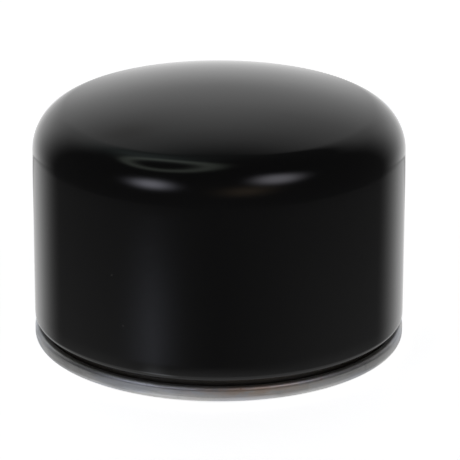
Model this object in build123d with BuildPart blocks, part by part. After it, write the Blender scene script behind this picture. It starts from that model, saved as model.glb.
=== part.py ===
from build123d import *
from math import acos, asin, atan2, degrees, pi, sqrt
import os

# A short spin-on oil filter for a small engine, standing on its base gasket with the dome up.
# The origin is the center of the gasket's sealing face, on the axis of the thread, and +Z runs
# from the thread to the dome. All sizes are in millimetres.

# ---------------------------------------------------------------- driving dimensions
# Can and rolled seam
CAN_RADIUS = 38.1  # outside of the wall and of the seam: 3 in across
OVERALL_HEIGHT = 54.4  # sealing face to the top of the dome
CROWN_RADIUS = 120.0  # the dome's shallow top
SHOULDER_RADIUS = 8.94  # from the crown round to the wall
ROLL_RADIUS = 1.5  # rounding at the foot of the wall
CAN_STEEL = 0.55
LID_STEEL = 0.6
SEAM_HEIGHT = 3.2
GROOVE_HEIGHT = 0.9  # open neck between the seam and the wall's foot
LAYER_GAP = 0.05  # between the folded layers of the seam
COMPOUND_GAP = 0.15  # between the lid and the neck, filled with sealing compound
SEALANT_SKIN = 0.01  # keeps a cast filling just off the sheet around it
HOOK_GAP = 0.15  # from each hook's end to the fold it points at
FOLD_RADIUS = 0.45  # middle of the sheet in the seam's tight folds
LID_BEND = 0.6  # middle of the sheet in the lid's other bends
SEAM_BEND = 1.0  # middle of the sheet at the seam's lower outer edge
NECK_BEND = 0.6
CUT_THROUGH = 3.0  # depth of a cutter that passes right through a sheet

# Base gasket and its channel in the lid
GASKET_OUTER_RADIUS = 34.7
GASKET_INNER_RADIUS = 30.85
GASKET_THICKNESS = 5.2
GASKET_PROUD = 0.9  # beyond the seam's lowest edge
GASKET_EDGE = 0.5  # rounding of its corners
CHANNEL_FIT = 0.25  # between the gasket and the channel's inner wall

# Tapping plate: the thick steel plate with the thread, 3/4-16 UNF
PLATE_STEEL = 2.5
PLATE_RADIUS = 36.0
DISH_RADIUS = 29.4  # where the raised rim starts to slope down
DISH_BEND = 2.5
THREAD_PITCH = 25.4 / 16
THREAD_MAJOR_RADIUS = 9.525
THREAD_MINOR_RADIUS = 8.74
COLLAR_RADIUS = 11.6
COLLAR_LENGTH = 8.2  # from the plate's outer face inwards
THREAD_LEAD = 0.8  # chamfer at both ends of the bore
THREAD_OVERCUT = 0.25  # of the groove's cutter into the bore
RADIUS_MATCH = 0.01
INLET_HOLES = 8
INLET_RADIUS = 2.6
INLET_CIRCLE_RADIUS = 20.0
LID_MOUTH_RADIUS = 23.4  # the lid's open middle
LID_PANEL_HEIGHT = 1.8  # sealing face to the lid's inner panel
WELDS = 8
WELD_CIRCLE_RADIUS = 26.2
WELD_DIMPLE_RADIUS = 1.5
WELD_DIMPLE_DEPTH = 0.2

# Anti-drainback valve: a rubber moulding that covers the inlet holes from the inside
VALVE_HUB_RADIUS = 14.0
VALVE_SHELF_RADIUS = 16.0
VALVE_SHELF_THICKNESS = 0.8
VALVE_RUBBER = 1.0
VALVE_LIP_RADIUS = 24.3
VALVE_LIP_FLAT = 2.0  # width of the sealing lip
VALVE_ROOT_HEIGHT = 3.7  # of the skirt's root above the plate
VALVE_CLEARANCE = 0.3
COLLAR_FIT = 0.05

# Element: end caps, potting, pleated paper and perforated tube
CAP_STEEL = 0.4
CAP_RADIUS = 33.4
CAP_RIM = 3.2
CAP_LIP_RADIUS = 13.15  # middle of the short collar round the cap's hole
CAP_LIP = 2.0
CAP_BEND = 0.5
VALVE_HEIGHT = 6.6  # tapping plate to the lower end cap
POTTING_THICKNESS = 1.6
MEDIA_HEIGHT = 29.0
MEDIA_OUTER_RADIUS = 31.8
MEDIA_INNER_RADIUS = 15.4
PAPER = 0.6
PLEATS = 48
CLIP_STEEL = 0.3
CLIP_LEG = 6.0
CLIP_FIT = 0.05
TUBE_INNER_RADIUS = 14.0
TUBE_STEEL = 0.6
TUBE_HOLE_RADIUS = 2.0
TUBE_HOLE_ROWS = 5
TUBE_HOLES_PER_ROW = 10

# Bypass valve, hanging in the tube from the upper end cap
VALVE_STEEL = 0.5
VALVE_BEND = 0.5
HOUSING_FLANGE_RADIUS = 16.4
HOUSING_RADIUS = 12.65
HOUSING_DEPTH = 3.25
SEAT_RADIUS = 7.6
CAGE_RADIUS = 10.65
CAGE_FLANGE_RADIUS = 12.0
CAGE_DEPTH = 9.75
CAGE_WINDOWS = 4
CAGE_WINDOW_WIDTH = 9.0
CAGE_WINDOW_HEIGHT = 6.2
GUIDE_RADIUS = 2.15
STEM_RADIUS = 2.0
STEM_TAIL = 1.0  # of the stem below the cage, valve shut
STEM_LEAD = 0.3
POPPET_RADIUS = 9.2
POPPET_THICKNESS = 1.2
POPPET_BOSS_RADIUS = 4.4
POPPET_BOSS = 1.0
SEAL_THICKNESS = 0.8
SEAL_INNER_RADIUS = 6.6
BYPASS_WIRE = 0.8
BYPASS_COIL_RADIUS = 5.6
BYPASS_TURNS = 4.5

# Element spring, between the bypass housing and the dome
ELEMENT_WIRE = 1.4
ELEMENT_COIL_RADIUS = 14.6
ELEMENT_TURNS = 3.0
REST_GAP = 0.03  # keeps sprung and lifting pieces just off what they bear on

# ---------------------------------------------------------------- worked-out places
can_foot = GASKET_PROUD + SEAM_HEIGHT + GROOVE_HEIGHT
lid_rim_radius = CAN_RADIUS - LID_STEEL / 2
layer_step = LID_STEEL / 2 + LAYER_GAP + CAN_STEEL / 2
can_hook_radius = lid_rim_radius - layer_step
lid_hook_radius = can_hook_radius - layer_step
neck_radius = lid_hook_radius - layer_step
chuck_wall_radius = neck_radius - CAN_STEEL / 2 - COMPOUND_GAP - LID_STEEL / 2
seam_floor = GASKET_PROUD + LID_STEEL / 2
seam_top = GASKET_PROUD + SEAM_HEIGHT - LID_STEEL / 2
can_hook_floor = seam_floor + layer_step
channel_top = GASKET_THICKNESS + LID_STEEL / 2
channel_inner_radius = GASKET_INNER_RADIUS - CHANNEL_FIT - LID_STEEL / 2
panel_middle = LID_PANEL_HEIGHT + LID_STEEL / 2

plate_floor = LID_PANEL_HEIGHT + LID_STEEL
plate_top = plate_floor + PLATE_STEEL
collar_top = plate_floor + COLLAR_LENGTH

lower_cap_face = plate_top + VALVE_HEIGHT
media_floor = lower_cap_face + CAP_STEEL + POTTING_THICKNESS
media_top = media_floor + MEDIA_HEIGHT
upper_cap_face = media_top + POTTING_THICKNESS + CAP_STEEL

housing_floor = upper_cap_face - HOUSING_DEPTH
cage_floor = housing_floor - CAGE_DEPTH
poppet_floor = housing_floor - SEAL_THICKNESS - POPPET_THICKNESS

os.makedirs("parts", exist_ok=True)


# ---------------------------------------------------------------- shared shapes
def save(piece, label):
    """Label a finished piece and write its STEP file."""
    piece.label = label
    export_step(piece, f"parts/{label}.step")
    print(f"{label}: {piece.volume:.1f} mm3")


def spun_sheet(middle_line, bend_radii, thickness):
    """Return sheet metal spun round +Z: (radius, height) points on the middle of the sheet."""
    with BuildPart() as sheet:
        with BuildSketch(Plane.XZ):
            with BuildLine():
                FilletPolyline(*middle_line, radius=bend_radii)
            trace(line_width=thickness)
        revolve(axis=Axis.Z)
    return sheet.part


def ring(inner_radius, outer_radius, floor, top, rounding=0.0):
    """Return a plain ring round +Z between two heights, its four edges rounded."""
    with BuildPart() as band:
        with BuildSketch(Plane.XZ) as section:
            with Locations(((inner_radius + outer_radius) / 2, (floor + top) / 2)):
                Rectangle(outer_radius - inner_radius, top - floor)
            if rounding:
                fillet(section.vertices(), rounding)
        revolve(axis=Axis.Z)
    return band.part


def coil_spring(coil_radius, wire, floor, top, turns):
    """Return a round-wire spring round +Z whose wire lies between two heights."""
    travel = top - floor - wire
    with BuildPart() as spring:
        with BuildLine(Plane.XY.offset(floor + wire / 2)) as route:
            Helix(pitch=travel / turns, height=travel, radius=coil_radius)
        with BuildSketch(Plane(origin=route.line @ 0, z_dir=route.line % 0)):
            Circle(wire / 2)
        sweep(path=route.line, is_frenet=True)
    return spring.part


# ---------------------------------------------------------------- can
def make_can():
    """Drawn steel can: crown, shoulder, wall, necked foot and the hook folded into the seam."""
    half = CAN_STEEL / 2
    wall = CAN_RADIUS - half
    crown = CROWN_RADIUS - half
    shoulder = SHOULDER_RADIUS - half
    crown_angle = degrees(asin((wall - shoulder) / (crown - shoulder)))
    foot = can_foot + half
    hook_top = seam_top - LID_STEEL / 2 - HOOK_GAP
    with BuildPart() as can:
        with BuildSketch(Plane.XZ):
            with BuildLine():
                top = JernArc((0, OVERALL_HEIGHT - half), (1, 0), crown, -crown_angle)
                side = JernArc(top @ 1, top % 1, shoulder, crown_angle - 90)
                FilletPolyline(
                    side @ 1,
                    (wall, foot),
                    (neck_radius, foot),
                    (neck_radius, can_hook_floor),
                    (can_hook_radius, can_hook_floor),
                    (can_hook_radius, hook_top),
                    radius=[ROLL_RADIUS - half, NECK_BEND, FOLD_RADIUS, FOLD_RADIUS],
                )
            trace(line_width=CAN_STEEL)
        revolve(axis=Axis.Z)
    return can.part


save(make_can(), "can")


# ---------------------------------------------------------------- seam lid
def make_seam_lid():
    """Thin lid: welded inner panel, gasket channel, and the rim rolled over the can's hook."""
    hook_floor = can_hook_floor + CAN_STEEL / 2 + HOOK_GAP
    middle_line = [
        (LID_MOUTH_RADIUS, panel_middle),
        (channel_inner_radius, panel_middle),
        (channel_inner_radius, channel_top),
        (chuck_wall_radius, channel_top),
        (chuck_wall_radius, seam_floor),
        (lid_rim_radius, seam_floor),
        (lid_rim_radius, seam_top),
        (lid_hook_radius, seam_top),
        (lid_hook_radius, hook_floor),
    ]
    bends = [LID_BEND] * 4 + [SEAM_BEND] + [FOLD_RADIUS] * 2
    dimple_sphere = (WELD_DIMPLE_RADIUS**2 + WELD_DIMPLE_DEPTH**2) / (2 * WELD_DIMPLE_DEPTH)
    dimple_center = LID_PANEL_HEIGHT + WELD_DIMPLE_DEPTH - dimple_sphere
    with BuildPart() as lid:
        add(spun_sheet(middle_line, bends, LID_STEEL))
        with Locations((0, 0, dimple_center)):
            with PolarLocations(WELD_CIRCLE_RADIUS, WELDS):
                Sphere(dimple_sphere, mode=Mode.SUBTRACT)
    return lid.part


save(make_seam_lid(), "seam_lid")


# ---------------------------------------------------------------- seam sealant
def make_seam_sealant():
    """Sealing compound cured in the narrow gap between the lid and the can's neck."""
    lid_face = chuck_wall_radius + LID_STEEL / 2
    return ring(
        lid_face + SEALANT_SKIN,
        lid_face + COMPOUND_GAP - SEALANT_SKIN,
        can_hook_floor + FOLD_RADIUS,
        can_foot + CAN_STEEL / 2 - NECK_BEND,
    )


save(make_seam_sealant(), "seam_sealant")


# ---------------------------------------------------------------- base gasket
save(ring(GASKET_INNER_RADIUS, GASKET_OUTER_RADIUS, 0, GASKET_THICKNESS, GASKET_EDGE), "base_gasket")


# ---------------------------------------------------------------- tapping plate
def thread_groove():
    """Return the internal thread's groove, running out past both ends of the bore."""
    depth = THREAD_MAJOR_RADIUS - THREAD_MINOR_RADIUS
    mouth = THREAD_PITCH * 3 / 8
    root = THREAD_PITCH / 16
    overcut_mouth = mouth + THREAD_OVERCUT * (mouth - root) / depth
    start = plate_floor - THREAD_PITCH
    length = COLLAR_LENGTH + 2 * THREAD_PITCH
    with BuildPart() as groove:
        with BuildLine(Plane.XY.offset(start)) as route:
            Helix(pitch=THREAD_PITCH, height=length, radius=THREAD_MINOR_RADIUS)
        with BuildSketch(Plane(origin=route.line @ 0, x_dir=(1, 0, 0), z_dir=route.line % 0)):
            with BuildLine():
                Polyline(
                    (-THREAD_OVERCUT, -overcut_mouth),
                    (depth, -root),
                    (depth, root),
                    (-THREAD_OVERCUT, overcut_mouth),
                    close=True,
                )
            make_face()
        sweep(path=route.line, is_frenet=True)
    return groove.part


def make_tapping_plate():
    """Dished plate on the lid, with eight oil inlets and the threaded collar drawn inwards."""
    rim_middle = channel_top + LID_STEEL / 2 + PLATE_STEEL / 2
    dish_middle = plate_floor + PLATE_STEEL / 2
    dish_foot_radius = DISH_RADIUS - (rim_middle - dish_middle)
    middle_line = [
        (PLATE_RADIUS, rim_middle),
        (DISH_RADIUS, rim_middle),
        (dish_foot_radius, dish_middle),
        (THREAD_MINOR_RADIUS, dish_middle),
    ]
    dish = spun_sheet(middle_line, [DISH_BEND, DISH_BEND], PLATE_STEEL)
    collar = ring(THREAD_MINOR_RADIUS, COLLAR_RADIUS, plate_floor, collar_top)
    groove = thread_groove()
    with BuildPart() as plate:
        add(dish)
        add(collar)
        with Locations((0, 0, dish_middle)):
            with PolarLocations(INLET_CIRCLE_RADIUS, INLET_HOLES):
                Cylinder(INLET_RADIUS, CUT_THROUGH, mode=Mode.SUBTRACT)
        chamfer(bore_rims(plate), THREAD_LEAD)
        add(groove, mode=Mode.SUBTRACT)
    return plate.part


def bore_rims(plate):
    """Return the circles where the bore meets the plate's face and the collar's end."""
    circles = plate.edges().filter_by(GeomType.CIRCLE)
    return circles.filter_by(lambda edge: abs(edge.radius - THREAD_MINOR_RADIUS) < RADIUS_MATCH)


save(make_tapping_plate(), "tapping_plate")


# ---------------------------------------------------------------- anti-drainback valve
def make_valve_hub():
    """The valve's thick middle: a sleeve gripping the collar, with a shelf under the element."""
    grip = COLLAR_RADIUS + COLLAR_FIT
    shelf_floor = lower_cap_face - VALVE_SHELF_THICKNESS
    with BuildPart() as hub:
        with BuildSketch(Plane.XZ):
            with BuildLine():
                Polyline(
                    (grip, plate_top),
                    (VALVE_HUB_RADIUS, plate_top),
                    (VALVE_HUB_RADIUS, shelf_floor),
                    (VALVE_SHELF_RADIUS, shelf_floor),
                    (VALVE_SHELF_RADIUS, lower_cap_face),
                    (grip, lower_cap_face),
                    close=True,
                )
            make_face()
        revolve(axis=Axis.Z)
    return hub.part


def make_valve_lip():
    """The valve's thin skirt, from its root beside the hub down to the sealing lip."""
    root = VALVE_HUB_RADIUS + VALVE_CLEARANCE
    lip_middle = plate_top + VALVE_RUBBER / 2 + REST_GAP
    middle_line = [
        (root, plate_top + VALVE_ROOT_HEIGHT),
        (VALVE_LIP_RADIUS - VALVE_LIP_FLAT, lip_middle),
        (VALVE_LIP_RADIUS, lip_middle),
    ]
    return spun_sheet(middle_line, [VALVE_RUBBER], VALVE_RUBBER)


save(make_valve_hub(), "anti_drainback_hub")
save(make_valve_lip(), "anti_drainback_lip")


# ---------------------------------------------------------------- end caps and potting
def make_end_cap(face, toward_media):
    """Pressed steel cap whose outer face is at a height, its rim turned toward the media."""
    middle = face + toward_media * CAP_STEEL / 2
    rim_radius = CAP_RADIUS - CAP_STEEL / 2
    middle_line = [
        (CAP_LIP_RADIUS, face + toward_media * CAP_LIP),
        (CAP_LIP_RADIUS, middle),
        (rim_radius, middle),
        (rim_radius, face + toward_media * CAP_RIM),
    ]
    return spun_sheet(middle_line, [CAP_BEND, CAP_BEND], CAP_STEEL)


def make_potting(floor):
    """Adhesive that holds the paper and the tube in a cap, clear of the cap's bends."""
    inner = TUBE_INNER_RADIUS + TUBE_STEEL
    outer = CAP_RADIUS - CAP_STEEL - SEALANT_SKIN
    return ring(inner, outer, floor, floor + POTTING_THICKNESS, CAP_BEND - CAP_STEEL / 2)


save(make_end_cap(lower_cap_face, 1), "lower_end_cap")
save(make_potting(lower_cap_face + CAP_STEEL), "lower_potting")
save(make_end_cap(upper_cap_face, -1), "upper_end_cap")
save(make_potting(media_top), "upper_potting")


# ---------------------------------------------------------------- pleated paper
tip_fold = pi * MEDIA_OUTER_RADIUS / (2 * PLEATS)
valley_fold = pi * MEDIA_INNER_RADIUS / (2 * PLEATS)
tip_center = MEDIA_OUTER_RADIUS - PAPER / 2 - tip_fold
valley_center = MEDIA_INNER_RADIUS + PAPER / 2 + valley_fold


def fold_points(center_radius, angle, facing, swing, fold_radius):
    """Return the start, middle and end of a fold's arc round a center at a polar position."""
    center = Vector(center_radius, 0).rotate(Axis.Z, angle)
    turns = (facing - swing, facing, facing + swing)
    return [center + Vector(fold_radius, 0).rotate(Axis.Z, angle + turn) for turn in turns]


def pleat_outline(outer_fold, inner_fold):
    """Return one side of the paper: arcs round the folds, joined by straight walls."""
    step = 360 / PLEATS
    reach = Vector(valley_center, 0).rotate(Axis.Z, step / 2) - Vector(tip_center, 0)
    lean = degrees(acos((outer_fold + inner_fold) / reach.length))
    tip_swing = degrees(atan2(reach.Y, reach.X)) - lean
    valley_swing = step / 2 - tip_swing
    start = fold_points(tip_center, 0, 0, tip_swing, outer_fold)[0]
    last = None
    with BuildLine() as outline:
        for pleat in range(PLEATS):
            tip = fold_points(tip_center, pleat * step, 0, tip_swing, outer_fold)
            half_way = (pleat + 0.5) * step
            valley = fold_points(valley_center, half_way, 180, valley_swing, inner_fold)
            if last:
                Line(last, tip[0])
            ThreePointArc(*tip)
            Line(tip[2], valley[0])
            ThreePointArc(*valley)
            last = valley[2]
        Line(last, start)
    return outline.line


def make_filter_media():
    """Resin-treated paper folded into a star round the tube."""
    outside = pleat_outline(tip_fold + PAPER / 2, valley_fold - PAPER / 2)
    inside = pleat_outline(tip_fold - PAPER / 2, valley_fold + PAPER / 2)
    with BuildPart() as media:
        with BuildSketch(Plane.XY.offset(media_floor)):
            make_face(outside.edges())
            make_face(inside.edges(), mode=Mode.SUBTRACT)
        extrude(amount=MEDIA_HEIGHT)
    return media.part


def make_media_clip():
    """Steel strip crimped over the pleat where the paper's two ends meet."""
    hollow = tip_fold + PAPER / 2 + CLIP_FIT
    with BuildPart() as clip:
        with BuildSketch(Plane.XY.offset(media_floor)):
            with Locations((tip_center, 0)):
                Circle(hollow + CLIP_STEEL)
            with Locations((tip_center - CLIP_LEG / 2, 0)):
                Rectangle(CLIP_LEG, 2 * (hollow + CLIP_STEEL))
            with Locations((tip_center, 0)):
                Circle(hollow, mode=Mode.SUBTRACT)
            with Locations((tip_center - CLIP_LEG / 2, 0)):
                Rectangle(CLIP_LEG, 2 * hollow, mode=Mode.SUBTRACT)
        extrude(amount=MEDIA_HEIGHT)
    return clip.part


save(make_filter_media(), "filter_media")
save(make_media_clip(), "media_seam_clip")


# ---------------------------------------------------------------- center tube
def make_center_tube():
    """Perforated tube that carries the paper's load, its rows of holes staggered."""
    floor = lower_cap_face + CAP_STEEL
    tube = ring(TUBE_INNER_RADIUS, TUBE_INNER_RADIUS + TUBE_STEEL, floor, upper_cap_face - CAP_STEEL)
    row_step = MEDIA_HEIGHT / TUBE_HOLE_ROWS
    hole_step = 360 / TUBE_HOLES_PER_ROW
    with BuildPart() as perforated:
        add(tube)
        for row in range(TUBE_HOLE_ROWS):
            height = media_floor + (row + 0.5) * row_step
            stagger = hole_step / 2 * (row % 2)
            with Locations((0, 0, height)):
                with PolarLocations(TUBE_INNER_RADIUS, TUBE_HOLES_PER_ROW, stagger):
                    Cylinder(
                        TUBE_HOLE_RADIUS,
                        CUT_THROUGH,
                        rotation=(0, 90, 0),
                        mode=Mode.SUBTRACT,
                    )
    return perforated.part


save(make_center_tube(), "center_tube")


# ---------------------------------------------------------------- bypass valve
def make_bypass_housing():
    """Pressed cup: a flange on the upper end cap, a wall down the tube and the valve's seat."""
    wall = HOUSING_RADIUS - VALVE_STEEL / 2
    flange = upper_cap_face + VALVE_STEEL / 2
    seat = housing_floor + VALVE_STEEL / 2
    middle_line = [(HOUSING_FLANGE_RADIUS, flange), (wall, flange), (wall, seat), (SEAT_RADIUS, seat)]
    return spun_sheet(middle_line, [VALVE_BEND, VALVE_BEND], VALVE_STEEL)


def make_bypass_cage():
    """Pressed cage welded under the seat, with four windows and a hole that guides the stem."""
    wall = CAGE_RADIUS - VALVE_STEEL / 2
    flange = housing_floor - VALVE_STEEL / 2
    base = cage_floor + VALVE_STEEL / 2
    middle_line = [(CAGE_FLANGE_RADIUS, flange), (wall, flange), (wall, base), (GUIDE_RADIUS, base)]
    cup = spun_sheet(middle_line, [VALVE_BEND, VALVE_BEND], VALVE_STEEL)
    with BuildPart() as cage:
        add(cup)
        with Locations((0, 0, cage_floor + CAGE_DEPTH / 2)):
            with PolarLocations(wall, CAGE_WINDOWS):
                Box(
                    CUT_THROUGH,
                    CAGE_WINDOW_WIDTH,
                    CAGE_WINDOW_HEIGHT,
                    mode=Mode.SUBTRACT,
                )
    return cage.part


def make_bypass_poppet():
    """Moulded disc with a boss inside the spring and a stem down through the cage."""
    disc_top = poppet_floor + POPPET_THICKNESS
    boss_floor = poppet_floor - POPPET_BOSS
    tail = cage_floor - STEM_TAIL
    with BuildPart() as poppet:
        with BuildSketch(Plane.XZ):
            with BuildLine():
                Polyline(
                    (0, disc_top),
                    (POPPET_RADIUS, disc_top),
                    (POPPET_RADIUS, poppet_floor),
                    (POPPET_BOSS_RADIUS, poppet_floor),
                    (POPPET_BOSS_RADIUS, boss_floor),
                    (STEM_RADIUS, boss_floor),
                    (STEM_RADIUS, tail),
                    (0, tail),
                    close=True,
                )
            make_face()
        revolve(axis=Axis.Z)
        chamfer(poppet.edges().sort_by(Axis.Z)[0], STEM_LEAD)
    return poppet.part


def make_bypass_seal():
    """Flat rubber ring bonded to the poppet, closed against the underside of the seat."""
    return ring(SEAL_INNER_RADIUS, POPPET_RADIUS, housing_floor - SEAL_THICKNESS, housing_floor)


def make_bypass_spring():
    """Coil between the cage's base and the poppet."""
    floor = cage_floor + VALVE_STEEL + REST_GAP
    top = poppet_floor - REST_GAP
    return coil_spring(BYPASS_COIL_RADIUS, BYPASS_WIRE, floor, top, BYPASS_TURNS)


save(make_bypass_housing(), "bypass_housing")
save(make_bypass_cage(), "bypass_cage")
save(make_bypass_poppet(), "bypass_poppet")
save(make_bypass_seal(), "bypass_seal")
save(make_bypass_spring(), "bypass_spring")


# ---------------------------------------------------------------- element spring
def make_element_spring():
    """Coil that holds the element down on the anti-drainback valve."""
    floor = upper_cap_face + VALVE_STEEL + REST_GAP
    inside_radius = CROWN_RADIUS - CAN_STEEL
    reach = ELEMENT_COIL_RADIUS + ELEMENT_WIRE / 2
    dome = OVERALL_HEIGHT - CROWN_RADIUS + sqrt(inside_radius**2 - reach**2)
    return coil_spring(ELEMENT_COIL_RADIUS, ELEMENT_WIRE, floor, dome - REST_GAP, ELEMENT_TURNS)


save(make_element_spring(), "element_spring")
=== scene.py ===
import logging
from dataclasses import dataclass
from enum import Enum
from math import asin, atan2, cos, hypot, pi, radians, sin, tan
from typing import Any, Callable, Mapping, Optional, Sequence

import bmesh
import bpy
from mathutils import Matrix, Vector


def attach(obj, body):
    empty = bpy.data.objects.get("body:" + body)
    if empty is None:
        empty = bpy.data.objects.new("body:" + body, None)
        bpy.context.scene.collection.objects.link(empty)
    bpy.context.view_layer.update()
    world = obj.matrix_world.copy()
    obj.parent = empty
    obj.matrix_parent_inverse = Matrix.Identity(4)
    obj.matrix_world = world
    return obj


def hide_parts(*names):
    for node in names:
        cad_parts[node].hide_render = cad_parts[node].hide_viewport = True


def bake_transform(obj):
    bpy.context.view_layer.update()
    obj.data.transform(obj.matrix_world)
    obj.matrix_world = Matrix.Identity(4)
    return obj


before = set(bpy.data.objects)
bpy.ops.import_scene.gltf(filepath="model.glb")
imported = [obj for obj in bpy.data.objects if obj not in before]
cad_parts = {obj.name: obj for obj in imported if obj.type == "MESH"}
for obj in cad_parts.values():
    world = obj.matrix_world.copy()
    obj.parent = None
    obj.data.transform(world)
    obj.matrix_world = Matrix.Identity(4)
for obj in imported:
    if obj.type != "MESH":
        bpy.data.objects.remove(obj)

log = logging.getLogger("oil_filter")

MM = 0.001
WRAP_RADIUS = 38 * MM  # where grain wrapped round the axis has its stated fineness
Point = tuple[float, float]
Wobble = Callable[[float, float, float], Point]
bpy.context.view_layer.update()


class Body(Enum):
    """The rigid bodies that pieces ride on."""

    CANISTER = "canister"
    BYPASS = "bypass_valve"
    FLAP = "drainback_flap"


# ---------------------------------------------------------------- shader writing
class Field:
    """A number that varies over a surface: one output socket with Python operators."""

    def __init__(self, shade: "Shade", socket: bpy.types.NodeSocket) -> None:
        """Wrap a socket.

        Args:
            shade: the node tree being written.
            socket: the output that carries the number.
        """
        self.shade = shade
        self.socket = socket

    def math(self, operation: str, *others: Any) -> "Field":
        """Return a Math node of this field and up to two more values.

        Args:
            operation: the Math node's operation.
            others: fields or numbers for the next inputs.

        Returns:
            The node's result.
        """
        inputs = {0: self}
        inputs.update({place + 1: value for place, value in enumerate(others)})
        node = self.shade.node("ShaderNodeMath", {"operation": operation}, inputs)
        return self.shade.field(node)

    def __add__(self, other: Any) -> "Field":
        """Return the sum."""
        return self.math("ADD", other)

    __radd__ = __add__

    def __mul__(self, other: Any) -> "Field":
        """Return the product."""
        return self.math("MULTIPLY", other)

    __rmul__ = __mul__

    def __sub__(self, other: Any) -> "Field":
        """Return this less the other."""
        return self.math("SUBTRACT", other)

    def __rsub__(self, other: float) -> "Field":
        """Return a number less this."""
        return (self * -1.0) + other

    def __truediv__(self, other: Any) -> "Field":
        """Return this over the other."""
        return self.math("DIVIDE", other)

    def __pow__(self, other: float) -> "Field":
        """Return this to a power."""
        return self.math("POWER", other)

    def steps(self, low: float, high: float, start: float = 0.0, end: float = 1.0) -> "Field":
        """Return a smooth rise from start to end as this goes from low to high.

        Args:
            low: the value where the rise begins.
            high: the value where it ends.
            start: the result before the rise.
            end: the result after it.

        Returns:
            The remapped field.
        """
        inputs = {"Value": self, "From Min": low, "From Max": high, "To Min": start, "To Max": end}
        settings = {"interpolation_type": "SMOOTHSTEP", "clamp": True}
        return self.shade.field(self.shade.node("ShaderNodeMapRange", settings, inputs))


class Shade:
    """Writes one node tree; every node comes through its node method."""

    def __init__(self, tree: bpy.types.NodeTree) -> None:
        """Start on an empty tree.

        Args:
            tree: the tree to write; its nodes are cleared.
        """
        self.tree = tree
        tree.nodes.clear()

    def node(self, kind: str, settings: Optional[Mapping[str, Any]] = None,
             inputs: Optional[Mapping[Any, Any]] = None) -> bpy.types.Node:
        """Add a node.

        Args:
            kind: the node's type.
            settings: its properties, set first; "stops" fills a colour ramp.
            inputs: values or links by a socket's place, identifier or name.

        Returns:
            The new node.
        """
        node = self.tree.nodes.new(kind)
        for name, value in (settings or {}).items():
            if name == "stops":
                self._fill_ramp(node, value)
            else:
                setattr(node, name, value)
        for key, value in (inputs or {}).items():
            socket = self._find(node.inputs, key)
            if isinstance(value, Field):
                self.tree.links.new(value.socket, socket)
            elif isinstance(value, bpy.types.NodeSocket):
                self.tree.links.new(value, socket)
            else:
                socket.default_value = value
        return node

    @staticmethod
    def _fill_ramp(node: bpy.types.Node, stops: Sequence[tuple[float, Sequence[float]]]) -> None:
        """Set a ramp's stops.

        Args:
            node: the ramp.
            stops: pairs of position and colour.
        """
        elements = node.color_ramp.elements
        while len(elements) < len(stops):
            elements.new(1.0)
        for element, (position, colour) in zip(elements, stops):
            element.position = position
            element.color = (*colour, 1.0)

    @staticmethod
    def _find(sockets: Any, key: Any) -> bpy.types.NodeSocket:
        """Return a socket by its place, identifier or name."""
        if isinstance(key, int):
            return sockets[key]
        for socket in sockets:
            if socket.identifier == key:
                return socket
        return sockets[key]

    def out(self, node: bpy.types.Node, key: Any = 0) -> bpy.types.NodeSocket:
        """Return a node's output socket."""
        return self._find(node.outputs, key)

    def field(self, node: bpy.types.Node, key: Any = 0) -> Field:
        """Return a node's output as a number to calculate with."""
        return Field(self, self.out(node, key))

    def mix(self, factor: Any, first: Any, second: Any) -> bpy.types.NodeSocket:
        """Return the colour between two colours.

        Args:
            factor: 0 for the first, 1 for the second.
            first: a colour or a link.
            second: a colour or a link.

        Returns:
            The mixed colour's socket.
        """
        inputs = {"Factor_Float": factor, "A_Color": _colour(first), "B_Color": _colour(second)}
        node = self.node("ShaderNodeMix", {"data_type": "RGBA"}, inputs)
        return self.out(node, "Result_Color")

    def scaled(self, vector: Any, scale: Sequence[float]) -> bpy.types.NodeSocket:
        """Return a vector multiplied by three numbers."""
        settings = {"operation": "MULTIPLY"}
        return self.out(self.node("ShaderNodeVectorMath", settings, {0: vector, 1: tuple(scale)}))

    def noise(self, vector: Any, scale: float, detail: float = 3.0, rough: float = 0.55) -> Field:
        """Return cloudy noise from 0 to 1.

        Args:
            vector: where to read it.
            scale: its fineness, per unit of the vector.
            detail: how many finer layers are added.
            rough: how strong the finer layers are.

        Returns:
            The noise.
        """
        inputs = {"Vector": vector, "Scale": scale, "Detail": detail, "Roughness": rough}
        return self.field(self.node("ShaderNodeTexNoise", {}, inputs))

    def specks(self, vector: Any, scale: float, size: float, share: float) -> Field:
        """Return a mask of small round specks.

        Args:
            vector: where to read them.
            scale: cells per unit of the vector.
            size: a speck's radius, in cells.
            share: the share of cells that hold one.

        Returns:
            1 in a speck, 0 elsewhere.
        """
        cells = self.node("ShaderNodeTexVoronoi", {}, {"Vector": vector, "Scale": scale})
        inside = self.field(cells, "Distance").steps(size, size * 0.6)
        chance = self.field(self.node("ShaderNodeSeparateColor", {}, {0: self.out(cells, "Color")}))
        return inside * chance.math("LESS_THAN", share)

    def bump(self, height: Field, depth: float, strength: float = 1.0) -> bpy.types.NodeSocket:
        """Return a normal bent by a height.

        Args:
            height: the height, from 0 to 1.
            depth: how far 1 stands above 0, in metres.
            strength: how much of the bend is used.

        Returns:
            The normal's socket.
        """
        inputs = {"Height": height, "Distance": depth, "Strength": strength}
        return self.out(self.node("ShaderNodeBump", {}, inputs))


def _colour(value: Any) -> Any:
    """Return a colour with its alpha, or a link unchanged."""
    if isinstance(value, (Field, bpy.types.NodeSocket)):
        return value
    return (*value, 1.0) if len(value) == 3 else value


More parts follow.
